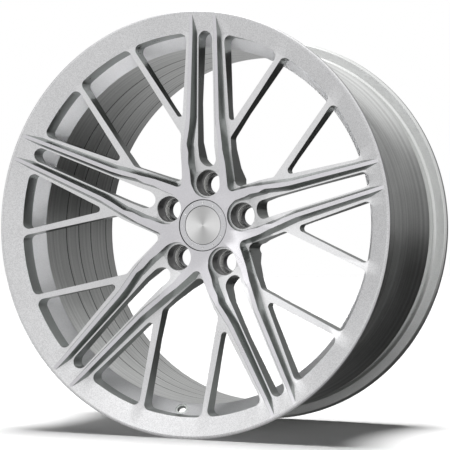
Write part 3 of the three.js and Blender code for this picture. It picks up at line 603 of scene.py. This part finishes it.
boolean(dish, drill(POCKET_RADIUS, bolt, 30, FLOOR_DEPTH + 20, POCKET_SHADE), "DIFFERENCE")
boolean(dish, drill(16.4, bolt, 30, PAD_DEPTH + 9, POCKET_SHADE), "DIFFERENCE")
relief = swing(0, 51, HALF)
boolean(dish, drill(9, relief, PAD_DEPTH - 24, PAD_DEPTH + 9, POCKET_SHADE), "DIFFERENCE")

# The half sector is mirrored, and its copies are welded into the whole face.
bm = bmesh.new()
bm.from_mesh(dish.data)
bpy.data.objects.remove(dish)
for way in ((-1, 0, 0), (math.cos(HALF), 0, -math.sin(HALF))):
    bmesh.ops.bisect_plane(bm, geom=bm.verts[:] + bm.edges[:] + bm.faces[:], dist=0.001,
                           plane_co=(0, 0, 0), plane_no=way, clear_outer=True)
bmesh.ops.mirror(bm, geom=bm.verts[:] + bm.edges[:] + bm.faces[:], axis="X", merge_dist=0.005)
bmesh.ops.rotate(bm, verts=bm.verts, matrix=Matrix.Rotation(PHASE, 3, "Y"))
bmesh.ops.spin(bm, geom=bm.verts[:] + bm.edges[:] + bm.faces[:], cent=(0, 0, 0), axis=(0, 1, 0),
               angle=SECTOR * 4, steps=4, use_duplicate=True)
bmesh.ops.remove_doubles(bm, verts=bm.verts, dist=0.01)
bmesh.ops.holes_fill(bm, edges=[edge for edge in bm.edges if edge.is_boundary], sides=6)
bmesh.ops.recalc_face_normals(bm, faces=bm.faces)
# Face metal between hub and ring that faces the front takes the lighter ledge colour, as painted
# light.
for polygon in bm.faces:
    at = polygon.calc_center_median()
    if polygon.material_index == SATIN and HUB_RADIUS < math.hypot(at.x, at.z) < RING_RADIUS - 2:
        if polygon.normal.y < -0.7:
            polygon.material_index = LEDGE_PAINTED_LIGHT
face = object_of(bm, "face_metal", FACE_FINISHES)


def spun(outline, steps, name, finishes, marked=None):
    """A closed outline of (radius, depth) points turned right round the axle."""
    bm = bmesh.new()
    corners = [bm.verts.new((0, FRONT + depth, radius)) for radius, depth in outline]
    edges = [bm.edges.new((a, b)) for a, b in zip(corners, corners[1:] + corners[:1])]
    bmesh.ops.spin(bm, geom=corners + edges, cent=(0, 0, 0), axis=(0, 1, 0), steps=steps,
                   angle=2 * math.pi, use_merge=True)
    bmesh.ops.remove_doubles(bm, verts=bm.verts, dist=0.0005)
    for face in bm.faces:
        if marked:
            face.material_index = marked(face.calc_center_median())
    return object_of(bm, name, finishes)


# The rim's hump, well and 45 degree cone run on unbroken behind the windows. The valve hole
# goes through the cone, square to it, opposite the first spoke.
# The whole collar takes that painted-reflection colour.
collar = spun([
    (SEAT_RADIUS - 0.6, 34), (SEAT_RADIUS + 1.1, 36.5), (SEAT_RADIUS + 1.1, 39.5),
    (SEAT_RADIUS, 41.9), (WELL_RADIUS, SEAM_DEPTH), (WELL_INSIDE, SEAM_DEPTH),
    (RING_RADIUS - CONE_RUN, CONE_END), (RING_RADIUS + 4, 34),
], 240, "collar", FACE_FINISHES, lambda at: CONE_PAINTED_REFLECTION)
run = CONE_RUN * 0.45
for radius, low, high in ((11.3 / 2, -30, 30), (17 / 2, -30, 0.5)):
    hole = drill(radius, (0, 0), low - FRONT, high - FRONT, MILLED_SHADE)
    hole.data.transform(Matrix.Rotation(math.radians(45), 4, "X"))
    hole.data.transform(Matrix.Translation((0, FRONT + RING_WALL_END + run, RING_RADIUS - run)))
    hole.data.transform(Matrix.Rotation(PHASE + math.pi, 4, "Y"))
    boolean(collar, hole, "DIFFERENCE")
bm = bmesh.new()
for piece in (face, collar):
    bm.from_mesh(piece.data)
    bpy.data.objects.remove(piece)
face = object_of(bm, "face_metal", FACE_FINISHES)


def finished(piece, name, body, nodes, bevel=0.7, angle=24):
    """Scaled to metres, edges broken and shading evened, and handed to the frame."""
    piece.name = name
    piece.data.name = name
    piece.data.transform(Matrix.Scale(0.001, 4))
    for polygon in piece.data.polygons:
        polygon.use_smooth = True
    if bevel:
        broken = piece.modifiers.new("broken_edges", "BEVEL")
        broken.width = bevel / 1000
        broken.segments = 3
        broken.limit_method = "ANGLE"
        broken.angle_limit = math.radians(angle)
    smooth = piece.modifiers.new("even_shading", "WEIGHTED_NORMAL")
    smooth.keep_sharp = True
    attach(piece, body)
    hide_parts(*nodes)
    return piece


finished(face, "forged_face", "wheel",
         ["front_rim", "hub"] + [f"spoke_{i + 1}" for i in range(5)])

# ---- Inner barrel ----
# The barrel is flow-formed behind the face. Outside it climbs from the drop centre to the rear
# bead seat and flange;
# inside it is bored in shallow steps, with a fine groove at each, coloured dark with painted
# shade.

DEPTH = -2 * FRONT
REAR_OPENING = SEAT_RADIUS - 7.4
BARREL_STEPS = [(165.8, 0.3), (127.8, 1.9), (86.8, 5.2), (28.8, 11.6)]
barrel_paint = metal("barrel_paint", (0.80, 0.81, 0.80), 0.34, flake=0.06, marks=0.8,
                     mark_axis="Y", pitch=700, coat=0.15, bands=0.12)
# A dark band of painted shade at each step of the bore.
groove_shade = metal("groove_shade", (0.16, 0.16, 0.16), 0.5, mark_axis="Y")
rear_lip = metal("rear_lip", (0.95, 0.95, 0.96), 0.3, marks=0.3, metallic=0.6, coat=0.2)

inside = []
for back, rise in BARREL_STEPS:
    bore, depth = WELL_INSIDE + rise, DEPTH - back
    before = inside[-1] if inside else (WELL_INSIDE, SEAM_DEPTH)
    slope = (bore - before[0]) / (depth - before[1])
    inside += [(bore - 3 * slope, depth - 3), (bore + 0.15, depth), (bore + 0.5, depth + 0.5)]
lines = [DEPTH - back - 1.5 for back, rise in BARREL_STEPS]


def groove_shade_and_lip(at):
    """The material by place: dark with painted shade in the grooves, brighter on the rear lip."""
    depth = at[1] - FRONT
    radius = math.hypot(at[0], at[2])
    if radius < WELL_INSIDE + 14 and any(abs(depth - line) < 1.2 for line in lines):
        return 1
    return 2 if depth > DEPTH - 2.5 else 0


face_of_flange = DEPTH - FLANGE_THICKNESS
barrel = spun([
    (WELL_INSIDE, SEAM_DEPTH), *inside,
    (REAR_OPENING, DEPTH - 2), (REAR_OPENING + 2, DEPTH), (FLANGE_RADIUS - FLANGE_EDGE, DEPTH),
    (FLANGE_RADIUS, DEPTH - FLANGE_EDGE), (FLANGE_RADIUS, face_of_flange + 3),
    (FLANGE_RADIUS - 3, face_of_flange), (SEAT_RADIUS + 3, face_of_flange),
    (SEAT_RADIUS, face_of_flange - 3), (SEAT_RADIUS, face_of_flange - 24),
    (SEAT_RADIUS + 1.1, face_of_flange - 25.6), (SEAT_RADIUS + 1.1, face_of_flange - 28.6),
    (WELL_RADIUS + 15.6, DEPTH - 46.8), (WELL_RADIUS + 8, DEPTH - 74.8),
    (WELL_RADIUS, DEPTH - 107.8), (WELL_RADIUS, SEAM_DEPTH),
], 240, "barrel", [barrel_paint, groove_shade, rear_lip], groove_shade_and_lip)
finished(barrel, "flow_formed_barrel", "wheel", ["inner_barrel"], 0.6, 20)

# ---- Bolt seats ----
# A steel insert lies at the bottom of each bolt pocket: a sleeve with a 60 degree cone for the
# wheel bolt, turned bright on the cone and coloured dark behind it, in the bore, as painted shade.

seat_steel = metal("seat_steel", (0.78, 0.78, 0.77), 0.24, marks=0.6, mark_axis="Y", pitch=1500)
# The sleeve's dark colour is painted shade in the bore.
sleeve_shade_steel = metal("sleeve_shade_steel", (0.30, 0.30, 0.31), 0.42, marks=0.4, mark_axis="Y")
SEAT_START = FLOOR_DEPTH + 20.3
SEAT_MOUTH = POCKET_RADIUS - 1.8
SEAT_BORE = 12.2
cone_end = SEAT_START + (SEAT_MOUTH - SEAT_BORE) / math.tan(math.radians(30))
for i in range(5):
    seat = spun([
        (SEAT_MOUTH, SEAT_START), (POCKET_RADIUS - 1.1, SEAT_START),
        (POCKET_RADIUS - 1.1, PAD_DEPTH - 0.5), (SEAT_BORE, PAD_DEPTH - 0.5),
        (SEAT_BORE, cone_end),
    ], 72, "seat", [seat_steel, sleeve_shade_steel],
        lambda at: 0 if at[1] - FRONT < cone_end - 0.1 else 1)
    x, z = swing(0, BOLT_RADIUS, PHASE + i * SECTOR)
    seat.data.transform(Matrix.Translation((x, 0, z)))
    finished(seat, f"bolt_insert_{i + 1}", "wheel", [f"bolt_seat_{i + 1}"], 0.3, 25)

# ---- Spigot ring ----
# A moulded ring in the centre bore brings it down to the car's own hub. It has a lead-in
# chamfer behind and is seen only from inboard.

spigot_plastic = metal("spigot_plastic", (0.035, 0.035, 0.038), 0.5, metallic=0.0, stain=0.15)
spigot = spun([
    (33.3, PAD_DEPTH - 10.5), (36, PAD_DEPTH - 10.5), (36, PAD_DEPTH - 0.5),
    (34.3, PAD_DEPTH - 0.5), (33.3, PAD_DEPTH - 1.5),
], 120, "spigot", [spigot_plastic])
finished(spigot, "spigot_insert", "wheel", ["spigot_ring"], 0.25, 25)

# ---- Centre cap ----
# The cap's body is a thin moulded disc with six barbed legs that snap into the hub's groove,
# pressed outwards by an open ring of spring wire behind it.

CAP_RADIUS = 33.7
CAP_BACK = HUB_DEPTH + 4.3
CAP_PLATE = CAP_BACK - 2
CAP_SEAT = CAP_PLATE - 0.3
LEG_RADIUS = 29.4
LEG_END = CAP_BACK + 15
cap_plastic = metal("cap_plastic", (0.075, 0.078, 0.085), 0.42, metallic=0.0, stain=0.12)
cap = spun([(0, CAP_PLATE), (CAP_RADIUS, CAP_PLATE), (CAP_RADIUS, CAP_BACK), (0, CAP_BACK)],
           120, "cap", [cap_plastic])
for i in range(6):
    leg = object_of(turned_wedge([
        (LEG_RADIUS - 2, CAP_BACK - 1), (LEG_RADIUS, CAP_BACK - 1), (LEG_RADIUS, LEG_END - 5),
        (30.2, LEG_END - 4), (30.2, LEG_END - 2.5), (LEG_RADIUS - 1, LEG_END),
        (LEG_RADIUS - 2, LEG_END),
    ], math.radians(60 * i) - 8.5 * STEP, 17 * STEP, 0), "leg", [cap_plastic])
    boolean(cap, leg, "UNION")
finished(cap, "cap_shell", "cap", ["cap_body"], 0.3)

spring_wire = metal("spring_wire", (0.55, 0.55, 0.56), 0.25, marks=0.3)
bm = bmesh.new()
bmesh.ops.create_circle(bm, segments=16, radius=0.8,
                        matrix=Matrix.Rotation(math.pi / 2, 4, "Y"))
bmesh.ops.translate(bm, vec=(0, FRONT + LEG_END - 4, LEG_RADIUS - 3.1), verts=bm.verts)
ends = math.asin(1.5 / (LEG_RADIUS - 3.1))
bmesh.ops.rotate(bm, verts=bm.verts, matrix=Matrix.Rotation(math.pi + ends, 3, "Y"))
bmesh.ops.spin(bm, geom=bm.verts[:] + bm.edges[:], cent=(0, 0, 0), axis=(0, 1, 0), steps=140,
               angle=2 * math.pi - 2 * ends)
bmesh.ops.holes_fill(bm, edges=[edge for edge in bm.edges if edge.is_boundary])
spring = object_of(bm, "spring", [spring_wire])
finished(spring, "cap_retaining_ring", "cap", ["cap_spring"], 0)

# ---- Cap bezel, badge and studs ----
# A bright ring covers the cap's edge and frames a plain spun disc across a narrow dark groove.
# Twelve small round-headed studs stand in holes round the ring.

bezel_metal = metal("bezel_metal", (0.74, 0.74, 0.76), 0.3, marks=0.6, pitch=1600)
BEZEL_TOP = CAP_SEAT - 1.8
bezel = spun([
    (25.8, CAP_SEAT), (25.8, BEZEL_TOP + 0.4), (26.2, BEZEL_TOP), (CAP_RADIUS - 0.7, BEZEL_TOP),
    (CAP_RADIUS, BEZEL_TOP + 0.7), (CAP_RADIUS, CAP_SEAT),
], 150, "bezel", [bezel_metal])             # 150, so that no stud hole meets an edge head on
stud_metal = metal("stud_metal", (0.97, 0.97, 0.97), 0.3, marks=0.1, metallic=0.2)
STUD_CIRCLE = CAP_RADIUS - 3.95
for i in range(12):
    x, z = swing(0, STUD_CIRCLE, math.radians(30 * i))
    boolean(bezel, drill(1.13, (x, z), 0, CAP_BACK, 0, 24), "DIFFERENCE")
    stud = spun([
        (0, BEZEL_TOP - 0.6), (0.55, BEZEL_TOP - 0.55), (0.9, BEZEL_TOP - 0.4),
        (1.1, BEZEL_TOP - 0.1), (1.1, CAP_SEAT), (0, CAP_SEAT),
    ], 24, "stud", [stud_metal])
    stud.data.transform(Matrix.Translation((x, 0, z)))
    finished(stud, f"cap_pip_{i + 1}", "cap", [f"cap_stud_{i + 1}"], 0)
finished(bezel, "cap_ring", "cap", ["cap_bezel"], 0.15)

# The disc is brushed round its centre, so its highlight opens into two opposite fans; the fans are
# also painted into its colour as a painted highlight.
spun_disc = metal("spun_disc", (0.80, 0.80, 0.81), 0.34, marks=0.5, pitch=2200)
tree = spun_disc.node_tree
shader = next(node for node in tree.nodes if node.type == "BSDF_PRINCIPLED")
here = add(tree, "ShaderNodeTexCoord").outputs["Object"]
way = add(tree, "ShaderNodeVectorMath", {0: here, 1: (0, 1, 0)}, operation="CROSS_PRODUCT")
way = add(tree, "ShaderNodeVectorTransform", {"Vector": way.outputs[0]}, vector_type="VECTOR",
          convert_from="OBJECT", convert_to="WORLD")
tree.links.new(way.outputs[0], shader.inputs["Tangent"])
shader.inputs["Anisotropic"].default_value = 0.85
apart = add(tree, "ShaderNodeSeparateXYZ", {0: here})
turn = add(tree, "ShaderNodeMath", {0: apart.outputs["Z"], 1: apart.outputs["X"]},
           operation="ARCTAN2")
twice = add(tree, "ShaderNodeMath", {0: turn.outputs[0], 1: 2.0}, operation="MULTIPLY")
fan = add(tree, "ShaderNodeMath", {0: twice.outputs[0]}, operation="COSINE")
# Painted highlight: lighter to the left and right of the centre, darker above and below.
painted_fan_sheen = add(tree, "ShaderNodeMapRange", {
    "Value": fan.outputs[0], "From Min": -1.0, "From Max": 1.0, "To Min": 0.58, "To Max": 0.95,
})
tree.links.new(painted_fan_sheen.outputs[0], shader.inputs["Base Color"])
badge_top = CAP_SEAT - 1.3
badge = spun([
    (0, badge_top), (25.0, badge_top), (25.3, badge_top + 0.3), (25.3, CAP_SEAT), (0, CAP_SEAT),
], 144, "badge", [spun_disc])
finished(badge, "cap_disc", "cap", ["cap_badge"], 0)

low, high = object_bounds()
